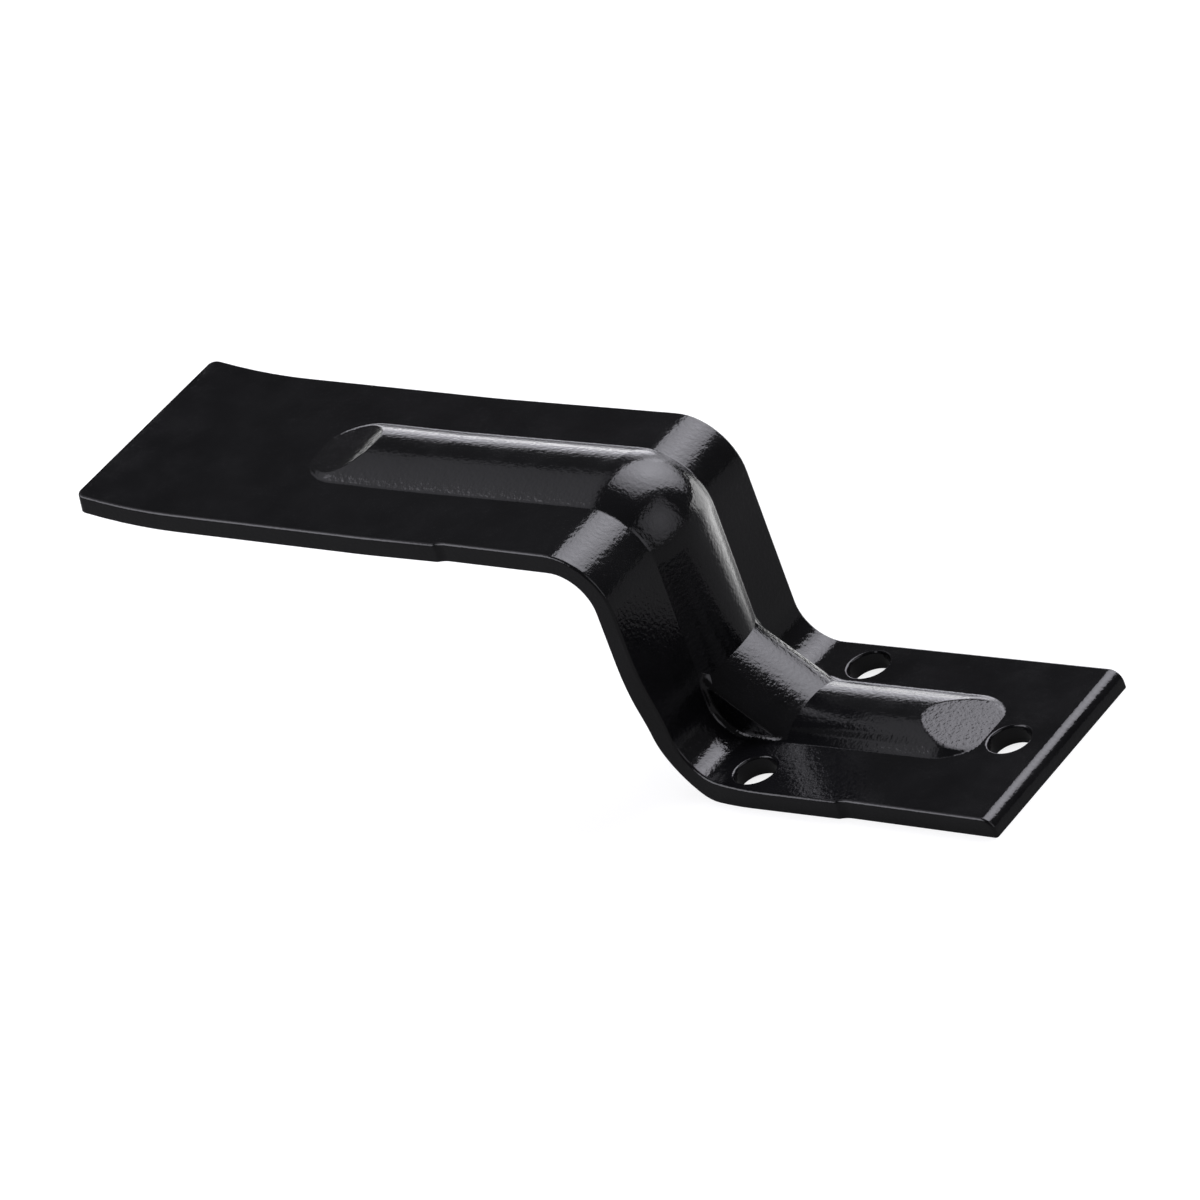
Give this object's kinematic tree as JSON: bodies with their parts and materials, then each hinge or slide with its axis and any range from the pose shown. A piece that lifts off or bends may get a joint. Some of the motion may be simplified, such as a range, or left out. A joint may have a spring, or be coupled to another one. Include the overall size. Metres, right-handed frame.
{
  "type": "bar holder bracket",
  "caption": "Open steel bracket pressed from one strip: a screwed foot, a riser and a long arm that hold a timber bar across a door, with a hollow stiffening rib.",
  "frame": {"origin": "centre of the end screw hole, on the foot's wall side", "axes": "+Z away from the wall along the screws, +X along the foot from the riser to the foot's end, so the arm points to -X; Y across the strip"},
  "size_m": [0.1613, 0.038, 0.0473],
  "materials": {
    "black_coat": "gloss black powder coat with a fine orange peel"
  },
  "bodies": {
    "root": {"bracket": "black_coat"}
  },
  "joints": []
}
